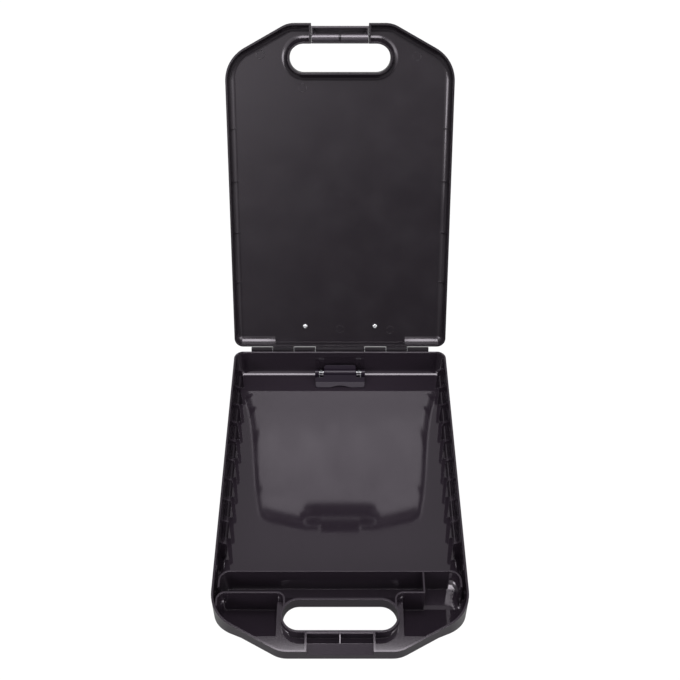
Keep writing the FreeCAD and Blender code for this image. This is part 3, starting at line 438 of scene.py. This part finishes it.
# Springs and bright rivets
# Torsion springs wound from music wire, and plated rivets whose hollow ends are rolled over
# inside the lid and show there as bright rings.

MUSIC_WIRE = "#5d5d60"
NICKEL = "#cfcfd2"
WIRE_EDGE_MM = 0.05
RIVET_PLACES_MM = ((-44.5, 27.5), (44.5, 27.5))
ROLL_MM = 1.1
ROLL_RING = {"Ring Radius": 0.0021, "Bead Radius": 0.0011}
# Darker than the pins, with a dull gleam on each turn.
spring_steel = drawn_steel("music wire, wound", MUSIC_WIRE, rough=0.35, line_mm=0.3)
for name in ("inner_clip_spring_left", "inner_clip_spring_right", "outer_clip_spring"):
    settle(eased(name, spring_steel, WIRE_EDGE_MM), name)
# Nearly white, with small hard highlights.
bright = drawn_steel("nickel plated steel, bright", NICKEL, rough=0.12, line_mm=0.8)
settle(eased("outer_clip_rivets", bright, SHEET_EDGE_MM), "outer_clip_rivets")
rolls = rings("rolled_rivet_ends",
              [on_lid(across, along, PLATE_MM - ROLL_MM) for across, along in RIVET_PLACES_MM],
              LID_OUTWARD, ROLL_RING, bright)
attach(rolls, "lid")

# The stage
# A wide floor of matt paper. The camera sees it white, with a trace of the case's shadow, and the
# case itself meets a grey one, so that its black plastic stays as dark as in the photograph.

WHITE = (1, 1, 1, 1)
FLOOR_GREY = (0.16, 0.16, 0.16, 1)
FLOOR_HALF = 6.0
FLOOR_GLOW = 1.1
FLOOR_SHOWN = 0.92

floor_mesh = bpy.data.meshes.new("floor")
floor_mesh.from_pydata([(-FLOOR_HALF, -FLOOR_HALF, 0), (FLOOR_HALF, -FLOOR_HALF, 0),
                        (FLOOR_HALF, FLOOR_HALF, 0), (-FLOOR_HALF, FLOOR_HALF, 0)],
                       [], [(0, 1, 2, 3)])
floor = bpy.data.objects.new("floor", floor_mesh)
bpy.context.scene.collection.objects.link(floor)
# Matt paper, without gloss or a grain that shows at this distance.
paper, tree, matt = surface("white paper floor")
matt.inputs["Base Color"].default_value = FLOOR_GREY
matt.inputs["Roughness"].default_value = 1.0
glow = node(tree, "ShaderNodeEmission", values={"Color": WHITE, "Strength": FLOOR_GLOW})
seen = node(tree, "ShaderNodeLightPath").outputs["Is Camera Ray"]
share = node(tree, "ShaderNodeMath", {0: seen}, {1: FLOOR_SHOWN}, operation="MULTIPLY")
mix = node(tree, "ShaderNodeMixShader",
           {0: share.outputs[0], 1: matt.outputs[0], 2: glow.outputs[0]})
tree.links.new(mix.outputs[0], tree.nodes["Material Output"].inputs["Surface"])
floor_mesh.materials.append(paper)

# Light
# A pale studio: one long softbox overhead, a screen low on the left behind the camera, and walls
# that darken towards the floor. Behind the camera they are paler on the left and far right.

WALL_BEHIND_CAMERA = ((0.0, 0.1), (0.10, 0.12), (0.187, 0.2), (0.245, 0.3), (0.284, 0.33),
                      (0.339, 0.65), (0.45, 0.8), (0.65, 0.6), (0.85, 0.5), (1.0, 0.5))
WALL_AHEAD = ((0.0, 0.4), (0.6, 0.55), (0.75, 0.62), (1.0, 0.5))
LEFT_TO_RIGHT = ((0.0, 2.4), (0.42, 2.4), (0.455, 2.2), (0.48, 1.4), (0.5, 1.0),
                 (0.5375, 0.78), (0.6, 0.7), (0.7, 3.5), (0.8, 6.5), (1.0, 6.5))
BRIGHTEST = 6.5
BEHIND_FROM = -0.1
BEHIND_TO = -0.35

world = bpy.data.worlds.new("studio")
bpy.context.scene.world = world
world.use_nodes = True
tree = world.node_tree
way = node(tree, "ShaderNodeSeparateXYZ",
           {0: node(tree, "ShaderNodeTexCoord").outputs["Generated"]})


def graded(source, stops):
    """A level along a value from 0 to 1, as a share of the brightest."""
    ramp = node(tree, "ShaderNodeValToRGB", {"Fac": source})
    bands = ramp.color_ramp.elements
    for place, _ in stops[1:-1]:
        bands.new(place)
    for band, (_, level) in zip(bands, stops):
        band.color = (level / BRIGHTEST,) * 3 + (1.0,)
    return ramp.outputs["Color"]


behind = node(tree, "ShaderNodeMapRange", {"Value": way.outputs["Y"]},
              {"From Min": BEHIND_FROM, "From Max": BEHIND_TO,
               "To Min": 0.0, "To Max": 1.0}).outputs["Result"]
across = node(tree, "ShaderNodeMapRange", {"Value": way.outputs["X"]},
              {"From Min": -1.0, "From Max": 1.0})
walls = node(tree, "ShaderNodeMix",
             {"Factor": behind, "A": graded(way.outputs["Z"], WALL_AHEAD),
              "B": graded(way.outputs["Z"], WALL_BEHIND_CAMERA)}, data_type="RGBA")
sides = node(tree, "ShaderNodeMix",
             {"Factor": behind, "B": graded(across.outputs["Result"], LEFT_TO_RIGHT)},
             {"A": 1 / BRIGHTEST}, data_type="FLOAT")
level = node(tree, "ShaderNodeMath", {0: sides.outputs["Result"]}, {1: BRIGHTEST ** 2},
             operation="MULTIPLY")
room = node(tree, "ShaderNodeBackground",
            {"Color": walls.outputs["Result"], "Strength": level.outputs[0]})
white = node(tree, "ShaderNodeBackground", values={"Color": WHITE, "Strength": 1.0})
seen = node(tree, "ShaderNodeLightPath").outputs["Is Camera Ray"]
mix = node(tree, "ShaderNodeMixShader", {0: seen, 1: room.outputs[0], 2: white.outputs[0]})
tree.links.new(mix.outputs[0], tree.nodes["World Output"].inputs["Surface"])


def softbox(name, place, target, width, height, radiance):
    """Rectangular light of a given brightness, turned towards a point."""
    light = bpy.data.lights.new(name, "AREA")
    light.shape = "RECTANGLE"
    light.size = width
    light.size_y = height
    light.energy = radiance * math.pi * width * height
    lamp = bpy.data.objects.new(name, light)
    lamp.location = place
    lamp.rotation_euler = (Vector(target) - Vector(place)).to_track_quat("-Z", "Y").to_euler()
    bpy.context.scene.collection.objects.link(lamp)


softbox("overhead", (0, -0.085, 1.9), (0, -0.085, 0), width=0.8, height=1.53, radiance=10.0)
softbox("left screen", (-1.21, -1.14, 0.97), (0, 0.3, 0.25), width=0.9, height=0.6, radiance=8.5)

# Camera
# At the photograph's place: in front of the handle, looking down at the open case.

CAMERA_PLACE = (0, -0.6423, 0.9905)
CAMERA_TILT = math.radians(44.51)
LENS_MM = 52.59
SENSOR_MM = 36.0
FRAME_SHIFT = -0.0588

lens = bpy.data.cameras.new("camera")
lens.sensor_width = SENSOR_MM
lens.lens = LENS_MM
lens.shift_y = FRAME_SHIFT
camera = bpy.data.objects.new("camera", lens)
camera.location = CAMERA_PLACE
camera.rotation_euler = (CAMERA_TILT, 0, 0)
bpy.context.scene.collection.objects.link(camera)
bpy.context.scene.camera = camera
bpy.context.scene.view_settings.view_transform = "Standard"
